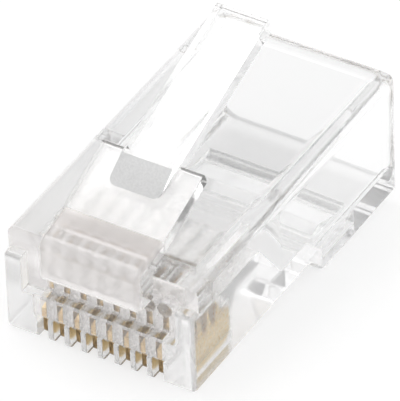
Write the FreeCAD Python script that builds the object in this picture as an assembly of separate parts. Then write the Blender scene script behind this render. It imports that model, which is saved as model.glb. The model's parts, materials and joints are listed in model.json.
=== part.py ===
import FreeCAD, Part
import math
import os

os.makedirs("parts", exist_ok=True)

# Eight-position modular plug before it is crimped, in millimetres.
# X runs across the plug, Y from the nose to the cable entry, Z up to the latch side.
# The origin is the middle of the nose's front face, on its contact side.

# Outer body
BODY_WIDTH = 11.68
BODY_LENGTH = 21.5
NOSE_HEIGHT = 6.6
STEP_DEPTH = 1.45
STEP_START = 12.1
STEP_RUN = 1.5
STEP_INNER_RADIUS = 0.3
STEP_OUTER_RADIUS = 0.7
LONG_EDGE_RADIUS = 0.5
SIDE_EDGE_RADIUS = 0.25
SMALL_EDGE_RADIUS = 0.15
NOSE_BOTTOM_RADIUS = 0.3

# Walls
SIDE_WALL = 1.15
TOP_WALL = 1.1
BOTTOM_WALL = 1.1
ENTRY_FLOOR_CORNER = 0.8
ENTRY_ROOF_CORNER = 0.4
ENTRY_LIP_RADIUS = 0.75

# Front of the nose: sill, set-back upper face and the two side cheeks
FACE_SETBACK = 0.65
SILL_DROP = 2.3
CHEEK_WIDTH = 1.1
CHEEK_DROP = 1.4
CHEEK_RADIUS = 0.3
COMB_MARGIN = 0.5
COMB_OPEN_DROP = 0.43
COMB_STEP = 0.12

# Contacts and their slots
CONTACT_COUNT = 8
CONTACT_PITCH = 1.02
CONTACT_THICKNESS = 0.32
CONTACT_SIDE_CLEARANCE = 0.03
CONTACT_END_CLEARANCE = 0.05
CONTACT_TRAVEL = 0.55
CONTACT_FRONT = 0.35
CONTACT_LENGTH = 4.4
CONTACT_RECESS = 0.06
CONTACT_NOSE_RADIUS = 0.5
CONTACT_FRONT_DROP = 0.3
PRONG_COUNT = 3
PRONG_START = 1.15
PRONG_PITCH = 0.9
PRONG_WIDTH = 0.56
PRONG_HEIGHT = 1.15
PRONG_TIP_WIDTH = 0.12
PRONG_TIP_DROP = 0.83
GROOVE_WIDTH = 0.7
GROOVE_DEPTH = 0.75

# Wire chamber
CHANNEL_RADIUS = 0.47
CHANNEL_RISE = 0.14
CHANNEL_END_WALL = 0.6
CHAMBER_HEIGHT = 1.4
CHAMBER_FRONT = 2.9
CHAMBER_FLOOR_END = 7.6
CHAMBER_HALF_WIDTH = 4.35
LANDING_HEIGHT = 1.2
LANDING_START = 9.7
LANDING_END = 12.4
ENTRY_FLOOR_START = 13.95
FLOOR_RAMP_RADIUS = 0.4
CHAMBER_CORNER_RADIUS = 0.3

# Jacket crimp bar and its window
WINDOW_START = 14.4
WINDOW_LENGTH = 3.5
WINDOW_WIDTH = 7.7
BAR_CLEARANCE = 0.1
BAR_RECESS = 0.2
BAR_BODY_REAR = 0.7
BAR_WEB_THICKNESS = 0.3
BAR_WEB_DEPTH = 0.2
BAR_APEX_HEIGHT = 0.4
BAR_APEX_SETBACK = 0.8
BAR_SHOULDER_HEIGHT = 0.1
BAR_SLOPE_END = 0.9
BAR_EDGE_RADIUS = 0.12

# Latch root, moulded on the nose
LATCH_WIDTH = 6.2
ROOT_PROUD = 0.85
ROOT_BOTTOM_DROP = 1.7
ROOT_TOP_DROP = 0.3
ROOT_TOP_RADIUS = 0.8
ROOT_BOTTOM_RADIUS = 0.4
ROOT_EDGE_RADIUS = 0.3
ROOT_BACK = 1.0
SLIT_RADIUS = 0.25
SLIT_FACE_SLANT = 0.1

# Latch
BEND_Y = 1.9
BEND_RISE = 1.4
LATCH_ANGLE = 20.2
PLATE_THICKNESS = 0.8
PLATE_LENGTH = 4.5
LEVER_WIDTH = 3.15
LEVER_LENGTH = 14.5
LEVER_RISE = 0.42
LEVER_TIP_DROP = 0.2
LEVER_TIP_THICKNESS = 1.06
LEVER_TIP_RADIUS = 0.3
RAMP_START = 2.12
RAMP_END = 3.95
RAMP_CORNER_RADIUS = 0.45
LATCH_EDGE_RADIUS = 0.1

HALF_WIDTH = BODY_WIDTH / 2
REAR_BOTTOM = -STEP_DEPTH
ENTRY_FLOOR = REAR_BOTTOM + BOTTOM_WALL
CEILING = NOSE_HEIGHT - TOP_WALL
CHEEK_HEIGHT = NOSE_HEIGHT - CHEEK_DROP
SILL_HEIGHT = CHEEK_HEIGHT - SILL_DROP
CHAMBER_FLOOR = CEILING - CHAMBER_HEIGHT
CHANNEL_HEIGHT = CHAMBER_FLOOR + CHANNEL_RISE
CONTACT_BODY_HEIGHT = CHANNEL_HEIGHT - PRONG_TIP_DROP - PRONG_HEIGHT - CONTACT_RECESS
CONTACT_FRONT_HEIGHT = CONTACT_BODY_HEIGHT - CONTACT_FRONT_DROP
COMB_OPEN_HEIGHT = CONTACT_FRONT_HEIGHT - COMB_OPEN_DROP
ROOT_BOTTOM = NOSE_HEIGHT - ROOT_BOTTOM_DROP
BEND_Z = NOSE_HEIGHT + BEND_RISE
INNER_HALF_WIDTH = HALF_WIDTH - SIDE_WALL
CONTACT_REAR = CONTACT_FRONT + CONTACT_LENGTH
WINDOW_END = WINDOW_START + WINDOW_LENGTH
BEND_UNDER = BEND_Z - PLATE_THICKNESS / math.cos(math.radians(LATCH_ANGLE))
PAST = 1.0
TOLERANCE = 1e-6


def contact_places():
    """X of the middle of every contact, from the first one at -X."""
    first = -CONTACT_PITCH * (CONTACT_COUNT - 1) / 2
    return [first + CONTACT_PITCH * i for i in range(CONTACT_COUNT)]


def round_corner(before, corner, after, radius):
    """Start, middle and end of the arc that rounds a corner."""
    to_before = (before - corner).normalize()
    to_after = (after - corner).normalize()
    half_angle = to_before.getAngle(to_after) / 2
    run = radius / math.tan(half_angle)
    bisector = (to_before + to_after).normalize()
    middle = corner + bisector * (radius / math.sin(half_angle) - radius)
    return corner + to_before * run, middle, corner + to_after * run


def side_outline(corners):
    """Closed wire in the YZ plane through (y, z, radius) corners."""
    points = [FreeCAD.Vector(0, y, z) for y, z, radius in corners]
    spans = []
    for i, point in enumerate(points):
        radius = corners[i][2]
        if radius:
            spans.append(round_corner(points[i - 1], point, points[(i + 1) % len(points)], radius))
        else:
            spans.append((point, point, point))
    edges = []
    for i, (start, middle, end) in enumerate(spans):
        if corners[i][2]:
            edges.append(Part.Arc(start, middle, end).toShape())
        edges.append(Part.makeLine(end, spans[(i + 1) % len(spans)][0]))
    return Part.Wire(edges)


def side_solid(corners, width, centre=0.0):
    """Side outline made into a solid of this width, centred on X = centre."""
    face = Part.Face(side_outline(corners))
    face.translate(FreeCAD.Vector(centre - width / 2, 0, 0))
    return face.extrude(FreeCAD.Vector(width, 0, 0))


def block(x_low, x_high, y_low, y_high, z_low, z_high):
    """Box between two corners."""
    size = (x_high - x_low, y_high - y_low, z_high - z_low)
    return Part.makeBox(*size, FreeCAD.Vector(x_low, y_low, z_low))


def edges_where(shape, test):
    """Edges of a shape whose every vertex passes the test."""
    return [edge for edge in shape.Edges if all(test(v.Point) for v in edge.Vertexes)]


def on_side(point):
    """Whether a point lies in one of the two side faces of the body."""
    return abs(abs(point.x) - HALF_WIDTH) < TOLERANCE


def outer_body():
    """Stepped outer body, its long top edges rounded more than the others."""
    body = side_solid([
        (0, 0, NOSE_BOTTOM_RADIUS),
        (STEP_START, 0, STEP_INNER_RADIUS),
        (STEP_START + STEP_RUN, REAR_BOTTOM, STEP_OUTER_RADIUS),
        (BODY_LENGTH, REAR_BOTTOM, 0),
        (BODY_LENGTH, NOSE_HEIGHT, 0),
        (FACE_SETBACK, NOSE_HEIGHT, 0),
        (FACE_SETBACK, CHEEK_HEIGHT, 0),
        (0, CHEEK_HEIGHT, CHEEK_RADIUS),
    ], BODY_WIDTH)

    def on_top(point):
        return on_side(point) and abs(point.z - NOSE_HEIGHT) < TOLERANCE

    long_top = [e for e in edges_where(body, on_top) if e.Length > BODY_WIDTH]
    body = body.makeFillet(LONG_EDGE_RADIUS, long_top)

    def on_bottom(point):
        return on_side(point) and point.z < CHEEK_HEIGHT + TOLERANCE

    side_edges = [e for e in edges_where(body, on_bottom) if e.BoundBox.XLength < TOLERANCE]
    body = body.makeFillet(SIDE_EDGE_RADIUS, [e for e in side_edges if not upright_at(e, BODY_LENGTH)])

    def on_rear(point):
        return abs(point.y - BODY_LENGTH) < TOLERANCE

    return body.makeFillet(SMALL_EDGE_RADIUS, edges_where(body, on_rear))


def upright_at(edge, y):
    """Whether an edge is a straight upright line at this Y."""
    box = edge.BoundBox
    return box.XLength < TOLERANCE and box.YLength < TOLERANCE and abs(box.YMin - y) < TOLERANCE


def front_recess():
    """Room in front of the set-back face, between the two cheeks and above the sill."""
    inner = HALF_WIDTH - CHEEK_WIDTH
    recess = block(-inner, inner, -PAST, FACE_SETBACK, SILL_HEIGHT, CHEEK_HEIGHT + PAST)
    back = edges_where(recess, lambda p: abs(p.y - FACE_SETBACK) < TOLERANCE and p.z < CHEEK_HEIGHT)
    return recess.makeFillet(SMALL_EDGE_RADIUS, back)


def comb_step():
    """Shallow step that sets the sill back above the open ends of the slots."""
    reach = CONTACT_PITCH * (CONTACT_COUNT - 1) / 2 + COMB_MARGIN
    return block(-reach, reach, -PAST, COMB_STEP, COMB_OPEN_HEIGHT, SILL_HEIGHT + PAST)


def wire_chamber():
    """Hollow from the cable entry to the front of the wire chamber."""
    side = side_solid([
        (BODY_LENGTH + PAST, ENTRY_FLOOR, 0),
        (ENTRY_FLOOR_START, ENTRY_FLOOR, FLOOR_RAMP_RADIUS),
        (LANDING_END, LANDING_HEIGHT, CHAMBER_CORNER_RADIUS),
        (LANDING_START, LANDING_HEIGHT, CHAMBER_CORNER_RADIUS),
        (CHAMBER_FLOOR_END, CHAMBER_FLOOR, CHAMBER_CORNER_RADIUS),
        (CHAMBER_FRONT, CHAMBER_FLOOR, 0),
        (CHAMBER_FRONT, CEILING, CHAMBER_CORNER_RADIUS),
        (BODY_LENGTH + PAST, CEILING, 0),
    ], INNER_HALF_WIDTH * 2)
    plan = [
        (-CHAMBER_HALF_WIDTH, CHAMBER_FRONT), (CHAMBER_HALF_WIDTH, CHAMBER_FRONT),
        (CHAMBER_HALF_WIDTH, CHAMBER_FLOOR_END), (INNER_HALF_WIDTH, LANDING_START),
        (INNER_HALF_WIDTH, BODY_LENGTH + PAST), (-INNER_HALF_WIDTH, BODY_LENGTH + PAST),
        (-INNER_HALF_WIDTH, LANDING_START), (-CHAMBER_HALF_WIDTH, CHAMBER_FLOOR_END),
    ]
    plan.append(plan[0])
    corners = [FreeCAD.Vector(x, y, REAR_BOTTOM) for x, y in plan]
    tall = FreeCAD.Vector(0, 0, NOSE_HEIGHT - REAR_BOTTOM)
    hollow = side.common(Part.Face(Part.makePolygon(corners)).extrude(tall))
    section = block(-INNER_HALF_WIDTH, INNER_HALF_WIDTH, 0, BODY_LENGTH + PAST, ENTRY_FLOOR, CEILING)
    section = section.makeFillet(ENTRY_FLOOR_CORNER, lengthwise_edges(section, ENTRY_FLOOR))
    section = section.makeFillet(ENTRY_ROOF_CORNER, lengthwise_edges(section, CEILING))
    return hollow.common(section)


def lengthwise_edges(shape, z):
    """Straight edges along Y at this height."""
    def level(edge):
        box = edge.BoundBox
        return box.XLength < TOLERANCE and box.ZLength < TOLERANCE and abs(box.ZMin - z) < TOLERANCE
    return [edge for edge in shape.Edges if level(edge)]


def wire_channels():
    """Round channels, one above each contact, closed at the nose."""
    front = FACE_SETBACK + CHANNEL_END_WALL
    length = CHAMBER_FLOOR_END - front
    along = FreeCAD.Vector(0, 1, 0)
    return [
        Part.makeCylinder(CHANNEL_RADIUS, length, FreeCAD.Vector(x, front, CHANNEL_HEIGHT), along)
        for x in contact_places()
    ]


def prong_span():
    """Y where the prongs begin and end."""
    start = CONTACT_FRONT + PRONG_START
    return start, start + PRONG_PITCH * (PRONG_COUNT - 1) + PRONG_WIDTH


def contact_slot(x):
    """Guide slot for one contact, and the wider groove round its edge for the jack's wire."""
    width = CONTACT_THICKNESS + 2 * CONTACT_SIDE_CLEARANCE
    front = CONTACT_FRONT - CONTACT_END_CLEARANCE
    rear = CONTACT_REAR + CONTACT_END_CLEARANCE
    lift = CONTACT_RECESS + CONTACT_TRAVEL + CONTACT_END_CLEARANCE
    prong_front, prong_rear = prong_span()
    prong_front -= CONTACT_END_CLEARANCE
    prong_rear += CONTACT_END_CLEARANCE
    slot = side_solid([
        (-PAST, -PAST, 0),
        (rear, -PAST, 0),
        (rear, CONTACT_BODY_HEIGHT + lift, 0),
        (prong_rear, CONTACT_BODY_HEIGHT + lift, 0),
        (prong_rear, CHANNEL_HEIGHT, 0),
        (prong_front, CHANNEL_HEIGHT, 0),
        (prong_front, CONTACT_BODY_HEIGHT + lift, 0),
        (front, CONTACT_FRONT_HEIGHT + lift, 0),
        (front, COMB_OPEN_HEIGHT, 0),
        (-PAST, COMB_OPEN_HEIGHT, 0),
    ], width, x)
    groove = side_solid([
        (-PAST, -PAST, 0),
        (rear, -PAST, 0),
        (rear, GROOVE_DEPTH, 0),
        (GROOVE_DEPTH, GROOVE_DEPTH, 0),
        (GROOVE_DEPTH, COMB_OPEN_HEIGHT, 0),
        (-PAST, COMB_OPEN_HEIGHT, 0),
    ], GROOVE_WIDTH, x)
    return slot.fuse(groove)


def crimp_window():
    """Opening in the underside that holds the crimp bar."""
    half = WINDOW_WIDTH / 2
    return block(-half, half, WINDOW_START, WINDOW_END, REAR_BOTTOM - PAST, ENTRY_FLOOR + PAST / 2)


def latch_root():
    """Bar on the front of the nose that the latch grows out of, up to its bend line."""
    corners = [
        (ROOT_BACK, ROOT_BOTTOM, 0),
        (-ROOT_PROUD, ROOT_BOTTOM, ROOT_BOTTOM_RADIUS),
        (-ROOT_PROUD, BEND_Z - ROOT_TOP_DROP - SLIT_FACE_SLANT, ROOT_TOP_RADIUS),
        (BEND_Y, BEND_Z, 0),
        (BEND_Y, BEND_UNDER, 0),
        (ROOT_BACK + SLIT_FACE_SLANT, BEND_UNDER - SLIT_FACE_SLANT, SLIT_RADIUS),
        (ROOT_BACK, NOSE_HEIGHT - SMALL_EDGE_RADIUS, 0),
    ]
    root = side_solid(corners, LATCH_WIDTH)

    def rounded(edge):
        box = edge.BoundBox
        beside = box.XLength < TOLERANCE and box.ZMax > ROOT_BOTTOM + ROOT_BOTTOM_RADIUS + TOLERANCE
        return beside and box.YMin < ROOT_BACK - TOLERANCE and box.ZMax > NOSE_HEIGHT

    return root.makeFillet(ROOT_EDGE_RADIUS, [e for e in root.Edges if rounded(e)])


def housing():
    """Clear housing: nose comb, wire chamber, cable entry, crimp window and latch root."""
    body = outer_body()
    body = body.cut([front_recess(), comb_step(), wire_chamber(), crimp_window()])
    body = body.cut(wire_channels())
    body = body.cut([contact_slot(x) for x in contact_places()])

    def on_entry_rim(point):
        inside = abs(point.x) < HALF_WIDTH - SIDE_WALL / 2
        below_roof = REAR_BOTTOM + BOTTOM_WALL / 2 < point.z < NOSE_HEIGHT - TOP_WALL / 2
        return inside and below_roof and abs(point.y - BODY_LENGTH) < TOLERANCE

    body = body.makeFillet(ENTRY_LIP_RADIUS, edges_where(body, on_entry_rim))
    return body.fuse(latch_root()).removeSplitter()


def on_latch(distance, depth):
    """(y, z) of a point this far along the latch from its bend line, this deep below its top."""
    slope = math.radians(LATCH_ANGLE)
    y = BEND_Y + distance * math.cos(slope) + depth * math.sin(slope)
    z = BEND_Z + distance * math.sin(slope) - depth * math.cos(slope)
    return y, z


def latch_outline(points):
    """Side outline of a latch piece that starts on the upright face at the bend line."""
    corners = [(BEND_Y, BEND_UNDER, 0), (BEND_Y, BEND_Z, 0)]
    return corners + [(*on_latch(distance, depth), radius) for distance, depth, radius in points]


def latch():
    """Shoulder plate with its two locking faces, and the thumb lever that rises from it."""
    plate = side_solid(latch_outline([
        (PLATE_LENGTH, 0, LATCH_EDGE_RADIUS), (PLATE_LENGTH, PLATE_THICKNESS, LATCH_EDGE_RADIUS),
    ]), LATCH_WIDTH)
    under_tip = LEVER_TIP_DROP + LEVER_TIP_THICKNESS
    lever = side_solid(latch_outline([
        (RAMP_START, 0, 0),
        (RAMP_END, -LEVER_RISE, LATCH_EDGE_RADIUS),
        (LEVER_LENGTH, LEVER_TIP_DROP, LATCH_EDGE_RADIUS),
        (LEVER_LENGTH, under_tip, LATCH_EDGE_RADIUS),
        (PLATE_LENGTH, PLATE_THICKNESS, 0),
    ]), LEVER_WIDTH)

    foot_y = on_latch(RAMP_START, 0)[0]
    tip_y = on_latch(LEVER_LENGTH, under_tip)[0]
    half = LEVER_WIDTH / 2
    plan = block(-half, half, foot_y, tip_y, BEND_Z - PAST, BEND_Z + LEVER_LENGTH)
    plan = plan.makeFillet(RAMP_CORNER_RADIUS, [e for e in plan.Edges if upright_at(e, foot_y)])
    plan = plan.makeFillet(LEVER_TIP_RADIUS, [e for e in plan.Edges if upright_at(e, tip_y)])
    return plate.fuse(lever.common(plan)).removeSplitter()


def crimp_bar():
    """Wedge that is pushed in on the cable jacket, hung on a thin web at its rear."""
    outer = REAR_BOTTOM + BAR_RECESS
    front = WINDOW_START + BAR_CLEARANCE
    web_top = ENTRY_FLOOR - BAR_WEB_DEPTH
    web_bottom = web_top - BAR_WEB_THICKNESS
    body_rear = WINDOW_END - BAR_BODY_REAR
    return side_solid([
        (front, outer, BAR_EDGE_RADIUS),
        (body_rear, outer, BAR_EDGE_RADIUS),
        (body_rear, web_bottom, 0),
        (WINDOW_END, web_bottom, 0),
        (WINDOW_END, web_top, 0),
        (WINDOW_END - BAR_SLOPE_END, web_top, 0),
        (front + BAR_APEX_SETBACK, ENTRY_FLOOR + BAR_APEX_HEIGHT, BAR_EDGE_RADIUS),
        (front, ENTRY_FLOOR + BAR_SHOULDER_HEIGHT, BAR_EDGE_RADIUS),
    ], WINDOW_WIDTH - 2 * BAR_CLEARANCE)


def contact(x):
    """Blade with a rounded lower edge and pointed prongs that pierce the wire."""
    base = CONTACT_RECESS
    corners = [
        (CONTACT_FRONT, base, CONTACT_NOSE_RADIUS),
        (CONTACT_FRONT, base + CONTACT_FRONT_HEIGHT, 0),
    ]
    start, end = prong_span()
    for i in range(PRONG_COUNT):
        left = start + PRONG_PITCH * i
        middle = left + PRONG_WIDTH / 2
        top = base + CONTACT_BODY_HEIGHT
        corners += [
            (left, top, 0),
            (middle - PRONG_TIP_WIDTH / 2, top + PRONG_HEIGHT, 0),
            (middle + PRONG_TIP_WIDTH / 2, top + PRONG_HEIGHT, 0),
            (left + PRONG_WIDTH, top, 0),
        ]
    corners += [
        (CONTACT_REAR, base + CONTACT_BODY_HEIGHT, 0),
        (CONTACT_REAR, base, CONTACT_NOSE_RADIUS),
    ]
    return side_solid(corners, CONTACT_THICKNESS, x)


housing().exportStep("parts/housing.step")
latch().exportStep("parts/latch.step")
crimp_bar().exportStep("parts/crimp_bar.step")
for number, place in enumerate(contact_places(), start=1):
    contact(place).exportStep("parts/contact_%d.step" % number)
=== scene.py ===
"""Clear eight-way modular plug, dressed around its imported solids, in a plain white studio."""

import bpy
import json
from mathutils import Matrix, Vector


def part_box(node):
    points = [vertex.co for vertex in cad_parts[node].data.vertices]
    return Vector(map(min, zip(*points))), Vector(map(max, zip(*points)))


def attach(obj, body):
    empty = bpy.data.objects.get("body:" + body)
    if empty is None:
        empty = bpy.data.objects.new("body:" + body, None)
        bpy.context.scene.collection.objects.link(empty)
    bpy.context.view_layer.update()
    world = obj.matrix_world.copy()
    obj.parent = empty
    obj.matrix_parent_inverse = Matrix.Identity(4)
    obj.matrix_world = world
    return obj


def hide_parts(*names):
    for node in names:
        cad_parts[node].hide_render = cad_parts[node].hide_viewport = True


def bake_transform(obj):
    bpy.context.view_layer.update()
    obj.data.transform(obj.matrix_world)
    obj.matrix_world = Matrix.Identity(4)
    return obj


bl_info = {
    "name": "Clear Modular Plug",
    "version": (1, 0, 0),
    "blender": (4, 5, 0),
    "location": "3D View > Sidebar > Plug",
    "description": "Dresses a clear modular plug and its gold blades, and sets up its studio",
    "category": "Object",
}

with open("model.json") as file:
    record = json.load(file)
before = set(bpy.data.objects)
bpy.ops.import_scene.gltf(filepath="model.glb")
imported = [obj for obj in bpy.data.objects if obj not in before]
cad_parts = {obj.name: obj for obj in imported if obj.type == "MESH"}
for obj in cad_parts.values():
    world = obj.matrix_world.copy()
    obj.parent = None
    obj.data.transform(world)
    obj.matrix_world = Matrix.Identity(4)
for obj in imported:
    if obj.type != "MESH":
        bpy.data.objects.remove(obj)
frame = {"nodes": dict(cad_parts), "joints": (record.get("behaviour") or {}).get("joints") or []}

import json
import math

import bmesh
import bpy
from bpy.props import FloatProperty, FloatVectorProperty, IntProperty, PointerProperty
from mathutils import Matrix, Vector
from mathutils.geometry import convex_hull_2d

MM = 0.001
MERGE_DISTANCE = 0.0005 * MM
PLANE_DISTANCE = 10 * MERGE_DISTANCE
FLAT_ANGLE = math.radians(0.4)
SHARP_ANGLE = math.radians(32)
NEAR_ANGLE = math.radians(2)
FACE_WEIGHT = 60
FACING = 0.5
RIM_FACING = 0.05
EDGE_SEGMENTS = 2
ROUNDING_SAMPLES = 6
SPREAD_RANGE = (0.3, 0.7)
MIX_RANGE = (0.35, 0.65)
GRAIN_STRETCH = (1, 0.12, 1)
STREAK_STRETCH = (1, 0.3, 0.3)
PATCH_BRIGHTNESS = 0.98
SENSOR_WIDTH = 36
CLIP_START = 10 * MM
CLIP_END = 20
UP = Vector((0, 0, 1))
ACROSS = Vector((1, 0, 0))
ALONG = Vector((0, 1, 0))

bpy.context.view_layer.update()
HOUSING_LOW, HOUSING_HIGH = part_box("housing")
LATCH_LOW, LATCH_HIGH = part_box("latch")
BAR_LOW, BAR_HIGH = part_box("crimp_bar")
CONTACT_NODES = sorted(name for name in frame["nodes"] if name.startswith("contact_"))
CLEAR, JOIN, HAZE, FROST, LOCK, ROOT, FRONT, RIM = range(8)
FLAT, EDGE = range(2)
NOSE_START = 0.5 * MM
NOSE_END = 9 * MM
NOSE_HEIGHT = 6.6 * MM
NOSE_LOW = Vector((HOUSING_LOW.x, NOSE_START, 0))
NOSE_HIGH = Vector((HOUSING_HIGH.x, NOSE_END, NOSE_HEIGHT))


def joint_pivot(name):
    """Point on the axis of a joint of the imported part."""
    return Vector(next(joint["pos_m"] for joint in frame["joints"] if joint["name"] == name))


class PlugMouldingSettings(bpy.types.PropertyGroup):
    """Finish of the clear moulding."""

    tint: FloatVectorProperty(
        name="Tint", description="Colour that light takes each time it passes a face of the clear plastic",
        subtype="COLOR", size=3, min=0, max=1, default=(0.992, 0.992, 0.992))
    nose_tint: FloatVectorProperty(
        name="Nose tint", description="The same colour at the nose, where wires and blades crowd the light",
        subtype="COLOR", size=3, min=0, max=1, default=(0.998, 0.991, 0.986))
    clearness: FloatProperty(
        name="Clearness", description="Share of the light that passes the surface and doesn't scatter on it",
        min=0, max=1, default=0.99)
    gloss: FloatProperty(
        name="Roughness", description="Roughness of the polished faces",
        min=0, max=1, default=0.04)
    nose_gloss: FloatProperty(
        name="Nose roughness", description="Roughness of the finely textured outside of the nose",
        min=0, max=1, default=0.18)
    nose_haze: FloatProperty(
        name="Nose haze", description="Roughness of the unpolished faces inside the nose",
        min=0, max=1, default=0.3)
    matt: FloatVectorProperty(
        name="Matt", description="Colour of the spark-eroded faces on the nose's front and the latch's root",
        subtype="COLOR", size=3, min=0, max=1, default=(0.98, 0.942, 0.926))
    root_clearness: FloatProperty(
        name="Root clearness", description="Share of the light that passes the outside of the latch's root",
        min=0, max=1, default=0.72)
    front_clearness: FloatProperty(
        name="Front clearness", description="Share of the light that passes the eroded faces below the root",
        min=0, max=1, default=0.9)
    matt_start: FloatProperty(
        name="Matt start", description="Height over the nose's underside from which its front is eroded",
        subtype="DISTANCE", unit="LENGTH", min=0, default=1.45 * MM)
    matt_depth: FloatProperty(
        name="Matt depth", description="Distance from the nose to the last of the eroded faces",
        subtype="DISTANCE", unit="LENGTH", min=0, default=0.7 * MM)
    matt_width: FloatProperty(
        name="Matt width", description="Width of the eroded stretch between the nose's two clear cheeks",
        subtype="DISTANCE", unit="LENGTH", min=0, default=8.2 * MM)
    edge_round: FloatProperty(
        name="Edge rounding", description="Radius that the mould leaves on sharp edges, for the light only",
        subtype="DISTANCE", unit="LENGTH", min=0, default=0.07 * MM)
    skin: FloatProperty(
        name="Skin", description="Depth under the outside from which a face counts as an inner one",
        subtype="DISTANCE", unit="LENGTH", min=0, default=0.3 * MM)
    haze_start: FloatProperty(
        name="Haze start", description="Distance from the nose at which the haze begins to fade",
        subtype="DISTANCE", unit="LENGTH", min=0, default=4.0 * MM)
    haze_end: FloatProperty(
        name="Haze end", description="Distance from the nose at which the plastic is fully polished",
        subtype="DISTANCE", unit="LENGTH", min=0, default=9.0 * MM)
    refraction: FloatProperty(
        name="Refractive index", description="Refractive index of the clear plastic",
        min=1, max=2.5, default=1.585)
    wave_length: FloatProperty(
        name="Wave length", description="Length of the slow waves that moulding leaves in the surface",
        subtype="DISTANCE", unit="LENGTH", min=0, default=3.0 * MM)
    wave_depth: FloatProperty(
        name="Wave depth", description="Depth of those waves",
        subtype="DISTANCE", unit="LENGTH", min=0, default=0.004 * MM)
    peel_count: IntProperty(
        name="Peel count", description="Lumps of the fine orange peel in the length of one wave",
        min=1, max=64, default=12)
    peel_depth: FloatProperty(
        name="Peel depth", description="Depth of the orange peel",
        subtype="DISTANCE", unit="LENGTH", min=0, default=0.00025 * MM)
    peel_roughness: FloatProperty(
        name="Peel roughness", description="Share by which the orange peel raises and lowers the roughness",
        min=0, max=1, default=0.25)
    flex_length: FloatProperty(
        name="Flex length", description="Length of the latch's root that bends",
        subtype="DISTANCE", unit="LENGTH", min=0, default=1.6 * MM)
    flex_cuts: IntProperty(
        name="Flex cuts", description="Cross cuts that let the latch's root bend smoothly",
        min=1, max=32, default=8)
    web_length: FloatProperty(
        name="Web length", description="Length of the crimp bar's web that bends",
        subtype="DISTANCE", unit="LENGTH", min=0, default=0.7 * MM)
    web_cuts: IntProperty(
        name="Web cuts", description="Cross cuts that let the crimp bar's web bend smoothly",
        min=1, max=32, default=4)


class PlugFrostSettings(bpy.types.PropertyGroup):
    """Finish of the rough faces: the latch's ramp and locking faces, and the rim below the cable entry. The
    dark grey of the locking faces and the grey of the rim are partly painted shade.
    """

    frost: FloatVectorProperty(
        name="Frost", description="Colour of the frosted ramp at the foot of the lever",
        subtype="COLOR", size=3, min=0, max=1, default=(0.6, 0.6, 0.6))
    frost_clearness: FloatProperty(
        name="Frost clearness", description="Share of the light that passes the frosted ramp",
        min=0, max=1, default=0.35)
    # painted shade: the locking faces take a dark copy of the frosted finish, for their rough finish and for
    # the shade they lie in
    locking_frost_and_shade: FloatVectorProperty(
        name="Locking faces", description="Colour of the two rough faces that lock in the jack",
        subtype="COLOR", size=3, min=0, max=1, default=(0.22, 0.22, 0.22))
    locking_clearness: FloatProperty(
        name="Locking clearness", description="Share of the light that passes the two locking faces",
        min=0, max=1, default=0.1)
    # painted shade: the rim's grey rough finish stands in for the shadow under the plug's raised rear end,
    # seen through the roof
    rim_frost_and_shade: FloatVectorProperty(
        name="Rim colour", description="Colour of the rough rounded rim below the cable entry",
        subtype="COLOR", size=3, min=0, max=1, default=(0.8, 0.8, 0.8))
    rim_clearness: FloatProperty(
        name="Rim clearness", description="Share of the light that passes the rough rim",
        min=0, max=1, default=0.6)
    frost_roughness: FloatProperty(
        name="Roughness", description="Roughness of the frosted faces",
        min=0, max=1, default=0.5)
    frost_grain: FloatProperty(
        name="Frost grain", description="Length of the grains of the frosted faces",
        subtype="DISTANCE", unit="LENGTH", min=0, default=0.12 * MM)
    frost_depth: FloatProperty(
        name="Frost depth", description="Depth of the grains",
        subtype="DISTANCE", unit="LENGTH", min=0, default=0.02 * MM)
    sparkle: FloatProperty(
        name="Sparkle", description="How much brighter than the rest the bright grains are",
        min=0, max=1, default=0.08)
    rim: FloatProperty(
        name="Rim", description="Length of the rough rounded rim below the cable entry",
        subtype="DISTANCE", unit="LENGTH", min=0, default=0.75 * MM)
    slope: FloatProperty(
        name="Slope", description="Slope of the ramp to the plug's length, on the latch at rest",
        subtype="ANGLE", unit="ROTATION", default=math.radians(33.1))


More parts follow.
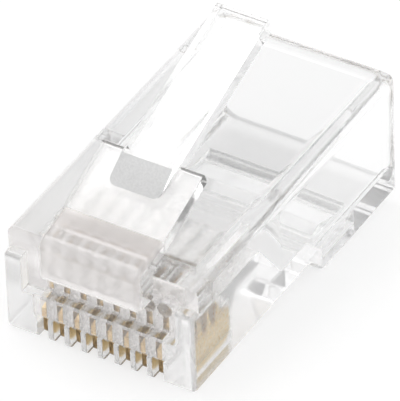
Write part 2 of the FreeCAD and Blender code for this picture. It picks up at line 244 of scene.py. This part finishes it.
class PlugContactSettings(bpy.types.PropertyGroup):
    """Finish of the contact blades."""

    plating: FloatVectorProperty(
        name="Plating", description="Colour of the gold plate on the flats",
        subtype="COLOR", size=3, min=0, max=1, default=(0.93, 0.76, 0.46))
    worn_plating: FloatVectorProperty(
        name="Thin plating", description="Colour where the plate is thin and the bronze shows",
        subtype="COLOR", size=3, min=0, max=1, default=(0.72, 0.5, 0.25))
    # painted shade: the dark lower edges are partly bare bronze and partly painted shade of the shaded floor
    # under the nose
    bare_and_shaded_edge: FloatVectorProperty(
        name="Stamped edge", description="Colour of the sheared edges, where the bronze is nearly bare",
        subtype="COLOR", size=3, min=0, max=1, default=(0.12, 0.08, 0.042))
    bright_edge: FloatVectorProperty(
        name="Bright edge", description="Colour of the bright streaks that the shear leaves in them",
        subtype="COLOR", size=3, min=0, max=1, default=(0.42, 0.29, 0.14))
    # heights where the painted shade of the lower edges gives way to gold
    edge_start: FloatProperty(
        name="Plated edge start", description="Height over the underside from which the edges are plated",
        subtype="DISTANCE", unit="LENGTH", min=0, default=1.1 * MM)
    edge_end: FloatProperty(
        name="Plated edge end", description="Height from which their plate is full",
        subtype="DISTANCE", unit="LENGTH", min=0, default=1.5 * MM)
    patch_length: FloatProperty(
        name="Patch length", description="Length of the patches of thin plate",
        subtype="DISTANCE", unit="LENGTH", min=0, default=0.6 * MM)
    grain_length: FloatProperty(
        name="Grain width", description="Width of the brushed grain and of the shear's streaks",
        subtype="DISTANCE", unit="LENGTH", min=0, default=0.09 * MM)
    grain_depth: FloatProperty(
        name="Grain depth", description="Depth of the brushed grain",
        subtype="DISTANCE", unit="LENGTH", min=0, default=0.0015 * MM)
    streak_depth: FloatProperty(
        name="Streak depth", description="Depth of the shear's streaks",
        subtype="DISTANCE", unit="LENGTH", min=0, default=0.003 * MM)
    tear_count: IntProperty(
        name="Tear count", description="Fine tears of the sheared edges in the width of one streak",
        min=1, max=32, default=3)
    flat_smoothest: FloatProperty(
        name="Smoothest flat", description="Lowest roughness of the flats",
        min=0, max=1, default=0.14)
    flat_roughest: FloatProperty(
        name="Roughest flat", description="Highest roughness of the flats",
        min=0, max=1, default=0.3)
    edge_smoothest: FloatProperty(
        name="Smoothest edge", description="Lowest roughness of the sheared edges",
        min=0, max=1, default=0.2)
    edge_roughest: FloatProperty(
        name="Roughest edge", description="Highest roughness of the sheared edges",
        min=0, max=1, default=0.45)
    edge_radius: FloatProperty(
        name="Edge radius", description="Radius of the blade's stamped edges",
        subtype="DISTANCE", unit="LENGTH", min=0, default=0.025 * MM)


class PlugStudioSettings(bpy.types.PropertyGroup):
    """Camera, table and lights."""

    azimuth: FloatProperty(
        name="Azimuth", description="Where the camera stands round the plug",
        subtype="ANGLE", unit="ROTATION", default=math.radians(32.017))
    elevation: FloatProperty(
        name="Elevation", description="How high the camera stands over the plug",
        subtype="ANGLE", unit="ROTATION", default=math.radians(39.372))
    roll: FloatProperty(
        name="Roll", description="Turn of the camera about its own view",
        subtype="ANGLE", unit="ROTATION", default=math.radians(-2.159))
    distance: FloatProperty(
        name="Distance", description="From the camera to the point that it looks at",
        subtype="DISTANCE", unit="LENGTH", min=0, default=371.857 * MM)
    lens: FloatProperty(
        name="Lens", description="Focal length in millimetres, for the 36 mm wide sensor",
        min=1, default=622.48)
    aim: FloatVectorProperty(
        name="Aim", description="Point that the camera looks at",
        subtype="TRANSLATION", unit="LENGTH", size=3, default=(-0.227 * MM, 10.906 * MM, 3.0 * MM))
    table_colour: FloatVectorProperty(
        name="Table", description="Colour of the plain white table",
        subtype="COLOR", size=3, min=0, max=1, default=(0.3, 0.3, 0.3))
    table_glow: FloatProperty(
        name="Table glow", description="Strength of the light that the table gives from below",
        min=0, default=0.71)
    table_roughness: FloatProperty(
        name="Table roughness", description="Roughness of the table",
        min=0, max=1, default=0.9)
    table_grain: FloatProperty(
        name="Table grain", description="Length of the table's faintly darker patches",
        subtype="DISTANCE", unit="LENGTH", min=0, default=0.02)
    table_size: FloatProperty(
        name="Table size", description="Length of the table's side",
        subtype="DISTANCE", unit="LENGTH", min=0, default=4.0)
    table_gap: FloatProperty(
        name="Table gap", description="Gap that keeps the table just clear of the plug",
        subtype="DISTANCE", unit="LENGTH", min=0, default=0.02 * MM)
    surround: FloatProperty(
        name="Surround", description="Strength of the white light from all round",
        min=0, default=1.0)
    backdrop: FloatVectorProperty(
        name="Backdrop", description="Colour of the dark stretch behind the plug",
        subtype="COLOR", size=3, min=0, max=1, default=(0.45, 0.45, 0.45))
    backdrop_low: FloatProperty(
        name="Backdrop's foot", description="Height of the lower edge of the dark stretch",
        subtype="ANGLE", unit="ROTATION", default=math.radians(25))
    backdrop_high: FloatProperty(
        name="Backdrop's top", description="Height of the upper edge of the dark stretch",
        subtype="ANGLE", unit="ROTATION", default=math.radians(45))
    backdrop_softness: FloatProperty(
        name="Backdrop's softness", description="How far each of its edges fades, as a share of straight up",
        min=0, max=1, default=0.06)
    backdrop_start: FloatProperty(
        name="Backdrop's start", description="How far backwards a direction points where the stretch begins",
        min=0, max=1, default=0.2)
    backdrop_full: FloatProperty(
        name="Backdrop's full part", description="How far backwards it points where the stretch is full",
        min=0, max=1, default=0.6)
    softbox_power: FloatProperty(
        name="Softbox", description="Power of the soft light overhead",
        subtype="POWER", unit="POWER", min=0, default=0.5)
    softbox_size: FloatProperty(
        name="Softbox size", description="Length of the side of the soft light",
        subtype="DISTANCE", unit="LENGTH", min=0, default=0.25)
    softbox_place: FloatVectorProperty(
        name="Softbox place", description="Place of the soft light, from the point that the camera looks at",
        subtype="TRANSLATION", unit="LENGTH", size=3, default=(-0.23, 0.05, 0.5))
    light_bounces: IntProperty(
        name="Light bounces", description="How often light may pass or leave the clear walls",
        min=1, max=128, default=40)


def shader_node(tree, kind, place, **values):
    """New node of a material, with its own settings given by name."""
    node = tree.nodes.new(kind)
    node.location = place
    for name, value in values.items():
        setattr(node, name, value)
    return node


def new_material(name):
    """New node material with its tree, its surface shader and its object coordinates."""
    material = bpy.data.materials.new(name)
    material.use_nodes = True
    tree = material.node_tree
    tree.nodes.clear()
    output = shader_node(tree, "ShaderNodeOutputMaterial", (600, 0))
    surface = shader_node(tree, "ShaderNodeBsdfPrincipled", (300, 0))
    places = shader_node(tree, "ShaderNodeTexCoord", (-900, 0))
    tree.links.new(surface.outputs["BSDF"], output.inputs["Surface"])
    return material, tree, surface, places.outputs["Object"]


def noise(tree, coordinates, length, place, detail=2.0, stretch=(1, 1, 1)):
    """Noise whose lumps are this long, stretched along the axes."""
    mapping = shader_node(tree, "ShaderNodeMapping", (place[0] - 200, place[1]))
    mapping.inputs["Scale"].default_value = stretch
    texture = shader_node(tree, "ShaderNodeTexNoise", place)
    texture.inputs["Scale"].default_value = 1 / length
    texture.inputs["Detail"].default_value = detail
    tree.links.new(coordinates, mapping.inputs["Vector"])
    tree.links.new(mapping.outputs["Vector"], texture.inputs["Vector"])
    return texture.outputs["Fac"]


def spread(tree, value, low, high, place):
    """Value of a noise, spread between two numbers."""
    node = shader_node(tree, "ShaderNodeMapRange", place)
    node.inputs["From Min"].default_value = SPREAD_RANGE[0]
    node.inputs["From Max"].default_value = SPREAD_RANGE[1]
    node.inputs["To Min"].default_value = low
    node.inputs["To Max"].default_value = high
    tree.links.new(value, node.inputs["Value"])
    return node.outputs["Result"]


def eased(tree, value, start, end, place, low=0.0, high=1.0):
    """Value that changes smoothly from one number to another between start and end."""
    node = shader_node(tree, "ShaderNodeMapRange", place, interpolation_type="SMOOTHSTEP")
    node.inputs["From Min"].default_value = start
    node.inputs["From Max"].default_value = end
    node.inputs["To Min"].default_value = low
    node.inputs["To Max"].default_value = high
    tree.links.new(value, node.inputs["Value"])
    return node.outputs["Result"]


def mixed(tree, share, first, second, place):
    """Mix of two colours, each one given as numbers or taken from another node."""
    node = shader_node(tree, "ShaderNodeMix", place, data_type="RGBA")
    tree.links.new(share, node.inputs["Factor"])
    for socket, colour in ((node.inputs[6], first), (node.inputs[7], second)):
        if isinstance(colour, tuple):
            socket.default_value = colour
        else:
            tree.links.new(colour, socket)
    return node.outputs[2]


def two_colours(tree, value, first, second, place):
    """Colour that a noise mixes from two."""
    ramp = shader_node(tree, "ShaderNodeValToRGB", place)
    for element, position, colour in zip(ramp.color_ramp.elements, MIX_RANGE, (first, second)):
        element.position = position
        element.color = (*colour, 1)
    tree.links.new(value, ramp.inputs["Fac"])
    return ramp.outputs["Color"]


def bump(tree, height, depth, place, under=None):
    """Bump this deep, on top of another one if it is given."""
    node = shader_node(tree, "ShaderNodeBump", place)
    node.inputs["Strength"].default_value = 1
    node.inputs["Distance"].default_value = depth
    tree.links.new(height, node.inputs["Height"])
    if under:
        tree.links.new(under, node.inputs["Normal"])
    return node.outputs["Normal"]


def clear_plastic(name, settings, nose_roughness):
    """Clear polycarbonate: moulding waves, orange peel, and a tint and haze that fade behind the nose."""
    material, tree, surface, places = new_material(name)
    slow = noise(tree, places, settings.wave_length, (-500, 300), detail=1)
    peel = noise(tree, places, settings.wave_length / settings.peel_count, (-500, 0), detail=3)
    split = shader_node(tree, "ShaderNodeSeparateXYZ", (-700, 500))
    tree.links.new(places, split.inputs["Vector"])
    behind = eased(tree, split.outputs["Y"], settings.haze_start, settings.haze_end, (-500, 500))
    colour = mixed(tree, behind, (*settings.nose_tint, 1), (*settings.tint, 1), (-200, -300))
    haze = eased(tree, behind, 0, 1, (-200, 500), nose_roughness, settings.gloss)
    uneven = settings.peel_roughness
    roughness = shader_node(tree, "ShaderNodeMath", (50, 100), operation="MULTIPLY")
    tree.links.new(haze, roughness.inputs[0])
    tree.links.new(spread(tree, peel, 1 - uneven, 1 + uneven, (-200, 0)), roughness.inputs[1])
    rounded = shader_node(tree, "ShaderNodeBevel", (-500, -500), samples=ROUNDING_SAMPLES)
    rounded.inputs["Radius"].default_value = settings.edge_round
    waves = bump(tree, slow, settings.wave_depth, (-200, 300), under=rounded.outputs["Normal"])
    normal = bump(tree, peel, settings.peel_depth, (50, 300), under=waves)
    surface.inputs["Transmission Weight"].default_value = settings.clearness
    surface.inputs["IOR"].default_value = settings.refraction
    tree.links.new(colour, surface.inputs["Base Color"])
    tree.links.new(roughness.outputs["Value"], surface.inputs["Roughness"])
    tree.links.new(normal, surface.inputs["Normal"])
    return material


def matt_plastic(name, settings, clearness):
    """Spark-eroded latch root or nose front, which scatters part of the light."""
    material, tree, surface, places = new_material(name)
    slow = noise(tree, places, settings.wave_length, (-500, 300), detail=1)
    surface.inputs["Base Color"].default_value = (*settings.matt, 1)
    surface.inputs["Roughness"].default_value = settings.nose_gloss
    surface.inputs["Transmission Weight"].default_value = clearness
    surface.inputs["IOR"].default_value = settings.refraction
    tree.links.new(bump(tree, slow, settings.wave_depth, (-200, 300)), surface.inputs["Normal"])
    return material


def frosted_plastic(name, settings, colour, clearness):
    """Frosted face of the clear moulding: fine sparkling grain that scatters the light."""
    material, tree, surface, places = new_material(name)
    grain = noise(tree, places, settings.frost_grain, (-500, 300), detail=4)
    brighter = tuple(min(1, channel + settings.sparkle) for channel in colour)
    surface.inputs["Transmission Weight"].default_value = clearness
    surface.inputs["Roughness"].default_value = settings.frost_roughness
    tree.links.new(two_colours(tree, grain, colour, brighter, (-200, 300)), surface.inputs["Base Color"])
    tree.links.new(bump(tree, grain, settings.frost_depth, (50, -200)), surface.inputs["Normal"])
    return material


def moulded_join(name):
    """Inner face where two clear pieces are one moulding, so that nothing shows there."""
    material, _, surface, _ = new_material(name)
    surface.inputs["Alpha"].default_value = 0
    return material


def gold_plate(name, settings):
    """Gold plate on stamped bronze: brushed grain along the blade and thinner plate in patches."""
    material, tree, surface, places = new_material(name)
    patches = noise(tree, places, settings.patch_length, (-500, 300), detail=3)
    grain = noise(tree, places, settings.grain_length, (-500, 0), detail=4, stretch=GRAIN_STRETCH)
    roughness = spread(tree, grain, settings.flat_smoothest, settings.flat_roughest, (-200, 0))
    surface.inputs["Metallic"].default_value = 1
    tree.links.new(
        two_colours(tree, patches, settings.plating, settings.worn_plating, (-200, 300)),
        surface.inputs["Base Color"])
    tree.links.new(roughness, surface.inputs["Roughness"])
    tree.links.new(bump(tree, grain, settings.grain_depth, (50, -200)), surface.inputs["Normal"])
    return material


def bare_and_shaded_edge(name, settings):
    """Sheared edge of the blade: dark bronze with bright streaks of the shear, and gold plate higher up; its
    dark lower part is partly bare bronze and partly painted shade.
    """
    material, tree, surface, places = new_material(name)
    streaks = noise(tree, places, settings.grain_length, (-500, 300), detail=3, stretch=STREAK_STRETCH)
    tears = noise(tree, places, settings.grain_length / settings.tear_count, (-500, 0), detail=2)
    roughness = spread(tree, tears, settings.edge_smoothest, settings.edge_roughest, (-200, 0))
    split = shader_node(tree, "ShaderNodeSeparateXYZ", (-700, 500))
    tree.links.new(places, split.inputs["Vector"])
    # painted shade: darker towards the underside, below the plated height
    plated = eased(tree, split.outputs["Z"], settings.edge_start, settings.edge_end, (-500, 500))
    bare = two_colours(tree, streaks, settings.bare_and_shaded_edge, settings.bright_edge, (-300, 300))
    gold = two_colours(tree, streaks, settings.worn_plating, settings.plating, (-300, 600))
    surface.inputs["Metallic"].default_value = 1
    tree.links.new(mixed(tree, plated, bare, gold, (0, 400)), surface.inputs["Base Color"])
    tree.links.new(roughness, surface.inputs["Roughness"])
    tree.links.new(bump(tree, streaks, settings.streak_depth, (50, -200)), surface.inputs["Normal"])
    return material


def node_places(node):
    """Places of the vertices of a CAD node."""
    return [vert.co for vert in frame["nodes"][node].data.vertices]


def merged_copy(node):
    """Working mesh of a CAD node: its triangles merged and its flat faces made whole."""
    shape = bmesh.new()
    shape.from_mesh(frame["nodes"][node].data)
    for layer in list(shape.loops.layers.uv):
        shape.loops.layers.uv.remove(layer)
    bmesh.ops.remove_doubles(shape, verts=shape.verts, dist=MERGE_DISTANCE)
    bmesh.ops.dissolve_limit(
        shape, angle_limit=FLAT_ANGLE, use_dissolve_boundaries=False,
        verts=shape.verts, edges=shape.edges, delimit={"NORMAL"})
    return shape


def cut_across(shape, place, normal, faces=None):
    """Cut a shape, or some of its faces, along a plane."""
    chosen = list(shape.faces) if faces is None else faces
    edges = {edge for face in chosen for edge in face.edges}
    verts = {vert for face in chosen for vert in face.verts}
    bmesh.ops.bisect_plane(
        shape, geom=[*verts, *edges, *chosen], dist=MERGE_DISTANCE, plane_co=place, plane_no=normal)


def inside(place, low, high):
    """Whether a place lies in the box between two corners."""
    return all(low[i] < place[i] < high[i] for i in range(3))


def faces_at(shape, y):
    """Flat upright faces across the plug at this Y."""
    return [face for face in shape.faces if all(abs(vert.co.y - y) < PLANE_DISTANCE for vert in face.verts)]


def open_join(shape, y, low, high):
    """Hide the patch at this Y that another clear piece grows out of."""
    for place, normal in ((low, UP), (high, UP), (low, ACROSS), (high, ACROSS)):
        cut_across(shape, place, normal, faces_at(shape, y))
    for face in faces_at(shape, y):
        centre = face.calc_center_median()
        if low.x < centre.x < high.x and low.z < centre.z < high.z:
            face.material_index = JOIN


def finished_piece(shape, name, materials, edge_radius=0.0):
    """Piece made from a working mesh, with smooth fillets, flat faces and softened edges."""
    shape.normal_update()
    for face in shape.faces:
        face.smooth = True
    for edge in shape.edges:
        edge.smooth = edge.calc_face_angle(math.pi) < SHARP_ANGLE
    mesh = bpy.data.meshes.new(name)
    shape.to_mesh(mesh)
    shape.free()
    piece = bpy.data.objects.new(name, mesh)
    bpy.context.scene.collection.objects.link(piece)
    for material in materials:
        mesh.materials.append(material)
    if edge_radius:
        soften = piece.modifiers.new("soften_edges", "BEVEL")
        soften.width = edge_radius
        soften.segments = EDGE_SEGMENTS
        soften.limit_method = "ANGLE"
        soften.angle_limit = SHARP_ANGLE
        soften.harden_normals = True
    even = piece.modifiers.new("even_normals", "WEIGHTED_NORMAL")
    even.mode = "FACE_AREA"
    even.weight = FACE_WEIGHT
    even.keep_sharp = True
    return piece


def shared_material(name, make, *settings):
    """Material by name, made the first time that it is asked for."""
    return bpy.data.materials.get(name) or make(name, *settings)


def clear_materials(scene):
    """Finishes of the moulding, in the order of their numbers."""
    moulding, frost = scene.plug_moulding, scene.plug_frost
    return [
        shared_material("clear_polycarbonate", clear_plastic, moulding, moulding.nose_gloss),
        shared_material("moulded_join", moulded_join),
        shared_material("hazy_polycarbonate", clear_plastic, moulding, moulding.nose_haze),
        shared_material("frosted_polycarbonate", frosted_plastic, frost, frost.frost, frost.frost_clearness),
        # painted shade: dark copy of the frosted finish for the two locking faces
        shared_material(
            "frosted_locking_face", frosted_plastic, frost, frost.locking_frost_and_shade, frost.locking_clearness),
        shared_material("matt_root", matt_plastic, moulding, moulding.root_clearness),
        shared_material("matt_front", matt_plastic, moulding, moulding.front_clearness),
        # painted shade: grey rough finish of the rim below the cable entry
        shared_material("rough_rim", frosted_plastic, frost, frost.rim_frost_and_shade, frost.rim_clearness),
    ]


def latch_join():
    """Y of the face between housing and latch, and its lowest and highest corners."""
    pivot = joint_pivot("latch_flex")
    top = max(place.z for place in node_places("latch") if place.y < pivot.y + MERGE_DISTANCE)
    return pivot.y, Vector((LATCH_LOW.x, pivot.y, pivot.z)), Vector((LATCH_HIGH.x, pivot.y, top))


def bar_join():
    """Y of the face between housing and crimp bar, and its lowest and highest corners."""
    pivot = joint_pivot("crimp_bar_hinge")
    ends = [place.z for place in node_places("crimp_bar") if place.y > pivot.y - MERGE_DISTANCE]
    return pivot.y, Vector((BAR_LOW.x, pivot.y, min(ends))), Vector((BAR_HIGH.x, pivot.y, max(ends)))


class PLUG_OT_housing(bpy.types.Operator):
    """Make the clear housing"""

    bl_idname = "plug.housing"
    bl_label = "Housing"

    def execute(self, context):
        shape = merged_copy("housing")
        settings = context.scene.plug_moulding
        skin = Vector.Fill(3, settings.skin)
        rim = HOUSING_HIGH.y - context.scene.plug_frost.rim
        shape.normal_update()
        for face in shape.faces:
            centre = face.calc_center_median()
            between = abs(centre.x) < settings.matt_width / 2 and settings.matt_start < centre.z
            if inside(centre, NOSE_LOW + skin, NOSE_HIGH - skin):
                face.material_index = HAZE
            # painted shade: the rim below the cable entry takes the grey rough finish
            elif centre.y > rim and centre.z < 0 and min(face.normal.y, face.normal.z) > RIM_FACING:
                face.material_index = RIM
            elif centre.y < -skin.y or centre.z > NOSE_HIGH.z + skin.z:
                face.material_index = ROOT
            elif between and face.normal.y < -FACING and centre.y < settings.matt_depth:
                face.material_index = FRONT
        open_join(shape, *latch_join())
        open_join(shape, *bar_join())
        piece = finished_piece(shape, "clear_housing", clear_materials(context.scene))
        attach(piece, "housing")
        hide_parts("housing")
        return {"FINISHED"}


class PLUG_OT_latch(bpy.types.Operator):
    """Make the locking latch, with cross cuts across its root"""

    bl_idname = "plug.latch"
    bl_label = "Latch"

    def execute(self, context):
        settings = context.scene.plug_moulding
        shape = merged_copy("latch")
        y, low, high = latch_join()
        open_join(shape, y, low, high)
        middle = Vector((0, y, (low.z + high.z) / 2))
        lie = (Vector((0, LATCH_HIGH.y, LATCH_HIGH.z)) - high).normalized()
        lie = Vector((0, lie.y, lie.z)).normalized()
        for i in range(1, settings.flex_cuts + 1):
            step = settings.flex_length * i / settings.flex_cuts
            cut_across(shape, middle + lie * step, lie)
        slope = context.scene.plug_frost.slope
        ramp = Vector((0, -math.sin(slope), math.cos(slope)))
        halfway = (middle.y + LATCH_HIGH.y) / 2
        for face in shape.faces:
            if face.normal.angle(ramp) < NEAR_ANGLE:
                face.material_index = FROST
            # painted shade: the two locking faces take the dark frosted copy
            elif face.normal.angle(lie) < NEAR_ANGLE and face.calc_center_median().y < halfway:
                face.material_index = LOCK
        piece = finished_piece(shape, "clear_latch", clear_materials(context.scene))
        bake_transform(piece)
        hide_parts("latch")
        return {"FINISHED"}


class PLUG_OT_crimp_bar(bpy.types.Operator):
    """Make the crimp bar, with cross cuts across its web"""

    bl_idname = "plug.crimp_bar"
    bl_label = "Crimp bar"

    def execute(self, context):
        settings = context.scene.plug_moulding
        shape = merged_copy("crimp_bar")
        y, low, high = bar_join()
        open_join(shape, y, low, high)
        middle = Vector((0, y, (low.z + high.z) / 2))
        web = settings.web_length
        for i in range(1, settings.web_cuts):
            cut_across(shape, middle - ALONG * web * i / settings.web_cuts, ALONG)
        piece = finished_piece(shape, "clear_crimp_bar", clear_materials(context.scene))
        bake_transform(piece)
        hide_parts("crimp_bar")
        return {"FINISHED"}


class PLUG_OT_contacts(bpy.types.Operator):
    """Make the gold-plated contact blades"""

    bl_idname = "plug.contacts"
    bl_label = "Contacts"

    def execute(self, context):
        settings = context.scene.plug_contacts
        finishes = [
            shared_material("gold_plate", gold_plate, settings),
            shared_material("stamped_bronze", bare_and_shaded_edge, settings),
        ]
        for node in CONTACT_NODES:
            shape = merged_copy(node)
            for face in shape.faces:
                face.material_index = FLAT if abs(face.normal.x) > FACING else EDGE
            piece = finished_piece(shape, "gold_" + node, finishes, settings.edge_radius)
            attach(piece, node)
            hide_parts(node)
        return {"FINISHED"}


def camera_axes(settings):
    """Directions to the camera's right, up and back from its view, its roll included."""
    azimuth, elevation = settings.azimuth, settings.elevation
    right = Vector((math.cos(azimuth), math.sin(azimuth), 0))
    level = Vector((math.sin(azimuth), -math.cos(azimuth), 0))
    back = level * math.cos(elevation) + UP * math.sin(elevation)
    up = back.cross(right)
    turned_right = right * math.cos(settings.roll) + up * math.sin(settings.roll)
    return turned_right, back.cross(turned_right), back


def add_camera(settings):
    """Camera at the photograph's angle and distance."""
    right, up, back = camera_axes(settings)
    data = bpy.data.cameras.new("camera")
    data.sensor_fit = "HORIZONTAL"
    data.sensor_width = SENSOR_WIDTH
    data.lens = settings.lens
    data.clip_start = CLIP_START
    data.clip_end = CLIP_END
    camera = bpy.data.objects.new("camera", data)
    turn = Matrix((right, up, back)).transposed().to_4x4()
    camera.matrix_world = Matrix.Translation(Vector(settings.aim) + back * settings.distance) @ turn
    bpy.context.scene.collection.objects.link(camera)
    bpy.context.scene.camera = camera


def add_table(settings):
    """Lit white table under the nose's edge and the rear step's edge, which the plug lies on."""
    material, tree, surface, places = new_material("lit_table")
    grain = noise(tree, places, settings.table_grain, (-500, 0))
    darker = tuple(channel * PATCH_BRIGHTNESS for channel in settings.table_colour)
    surface.inputs["Roughness"].default_value = settings.table_roughness
    surface.inputs["Emission Color"].default_value = (1, 1, 1, 1)
    surface.inputs["Emission Strength"].default_value = settings.table_glow
    tree.links.new(
        two_colours(tree, grain, settings.table_colour, darker, (-200, 0)), surface.inputs["Base Color"])
    shape = bmesh.new()
    bmesh.ops.create_grid(shape, x_segments=1, y_segments=1, size=settings.table_size / 2)
    mesh = bpy.data.meshes.new("table")
    shape.to_mesh(mesh)
    shape.free()
    mesh.materials.append(material)
    table = bpy.data.objects.new("table", mesh)
    bpy.context.scene.collection.objects.link(table)
    front, lie = resting_line()
    table.rotation_euler = (math.atan2(lie.z, lie.y), 0, 0)
    table.location = front - UP * settings.table_gap


def resting_line():
    """Where the plug lies on a table: start and run of the longest lower stretch of its side's hull."""
    places = [place.yz for place in node_places("housing")]
    hull = [places[i] for i in convex_hull_2d(places)]
    middle = (HOUSING_LOW.z + HOUSING_HIGH.z) / 2
    spans = [sorted(span, key=lambda place: place.x) for span in zip(hull, hull[1:] + hull[:1])]
    under = [(front, rear) for front, rear in spans if max(front.y, rear.y) < middle]
    front, rear = max(under, key=lambda span: span[1].x - span[0].x)
    return Vector((0, *front)), Vector((0, *(rear - front)))


def add_light(name, place, aim, size, power):
    """Soft square light that points at a place."""
    data = bpy.data.lights.new(name, "AREA")
    data.shape = "SQUARE"
    data.size = size
    data.energy = power
    light = bpy.data.objects.new(name, data)
    light.location = place
    light.rotation_mode = "QUATERNION"
    light.rotation_quaternion = (aim - place).to_track_quat("-Z", "Y")
    bpy.context.scene.collection.objects.link(light)


def add_surround(settings):
    """White light from all round, with a dark stretch behind the plug that draws its faces in grey."""
    world = bpy.data.worlds.new("surround")
    world.use_nodes = True
    tree = world.node_tree
    tree.nodes.clear()
    output = shader_node(tree, "ShaderNodeOutputWorld", (800, 0))
    background = shader_node(tree, "ShaderNodeBackground", (600, 0))
    background.inputs["Strength"].default_value = settings.surround
    places = shader_node(tree, "ShaderNodeTexCoord", (-600, 0))
    split = shader_node(tree, "ShaderNodeSeparateXYZ", (-400, 0))
    tree.links.new(places.outputs["Generated"], split.inputs["Vector"])
    foot, top = math.sin(settings.backdrop_low), math.sin(settings.backdrop_high)
    fade = settings.backdrop_softness
    share = eased(tree, split.outputs["Y"], settings.backdrop_start, settings.backdrop_full, (-200, 300))
    for edge, low, high, place in ((foot, 0, 1, (-200, 0)), (top, 1, 0, (-200, -300))):
        height = eased(tree, split.outputs["Z"], edge - fade, edge + fade, place, low, high)
        both = shader_node(tree, "ShaderNodeMath", (place[0] + 250, place[1] + 150), operation="MULTIPLY")
        tree.links.new(share, both.inputs[0])
        tree.links.new(height, both.inputs[1])
        share = both.outputs["Value"]
    colour = mixed(tree, share, (1, 1, 1, 1), (*settings.backdrop, 1), (350, 0))
    tree.links.new(colour, background.inputs["Color"])
    tree.links.new(background.outputs["Background"], output.inputs["Surface"])
    bpy.context.scene.world = world


def let_light_through(settings):
    """Let light pass as many clear walls as it meets."""
    cycles = bpy.context.scene.cycles
    cycles.max_bounces = settings.light_bounces
    cycles.transmission_bounces = settings.light_bounces
    cycles.glossy_bounces = settings.light_bounces
    cycles.transparent_max_bounces = settings.light_bounces


class PLUG_OT_studio(bpy.types.Operator):
    """Set up the camera, the lit white table and the soft light"""

    bl_idname = "plug.studio"
    bl_label = "Studio"

    def execute(self, context):
        settings = context.scene.plug_studio
        aim = Vector(settings.aim)
        add_camera(settings)
        add_table(settings)
        add_surround(settings)
        softbox = aim + Vector(settings.softbox_place)
        add_light("overhead_softbox", softbox, aim, settings.softbox_size, settings.softbox_power)
        let_light_through(settings)
        context.scene.view_settings.view_transform = "Standard"
        return {"FINISHED"}


class PLUG_PT_panel(bpy.types.Panel):
    """List of the plug's pieces and studio"""

    bl_idname = "PLUG_PT_panel"
    bl_label = "Clear Modular Plug"
    bl_space_type = "VIEW_3D"
    bl_region_type = "UI"
    bl_category = "Plug"

    def draw(self, context):
        for operator in OPERATORS:
            self.layout.operator(operator.bl_idname)


SETTINGS = {
    "plug_moulding": PlugMouldingSettings,
    "plug_frost": PlugFrostSettings,
    "plug_contacts": PlugContactSettings,
    "plug_studio": PlugStudioSettings,
}
OPERATORS = (PLUG_OT_studio, PLUG_OT_housing, PLUG_OT_latch, PLUG_OT_crimp_bar, PLUG_OT_contacts)


def register():
    """Make the settings, the operators and the panel known."""
    for name, group in SETTINGS.items():
        bpy.utils.register_class(group)
        setattr(bpy.types.Scene, name, PointerProperty(type=group))
    for kind in (*OPERATORS, PLUG_PT_panel):
        bpy.utils.register_class(kind)


def unregister():
    """Take them away again."""
    for kind in reversed((*OPERATORS, PLUG_PT_panel)):
        bpy.utils.unregister_class(kind)
    for name, group in reversed(SETTINGS.items()):
        delattr(bpy.types.Scene, name)
        bpy.utils.unregister_class(group)


def main():
    """Make the studio and every piece."""
    register()
    bpy.ops.plug.studio()
    bpy.ops.plug.housing()
    bpy.ops.plug.latch()
    bpy.ops.plug.crimp_bar()
    bpy.ops.plug.contacts()


if __name__ == "__main__":
    main()
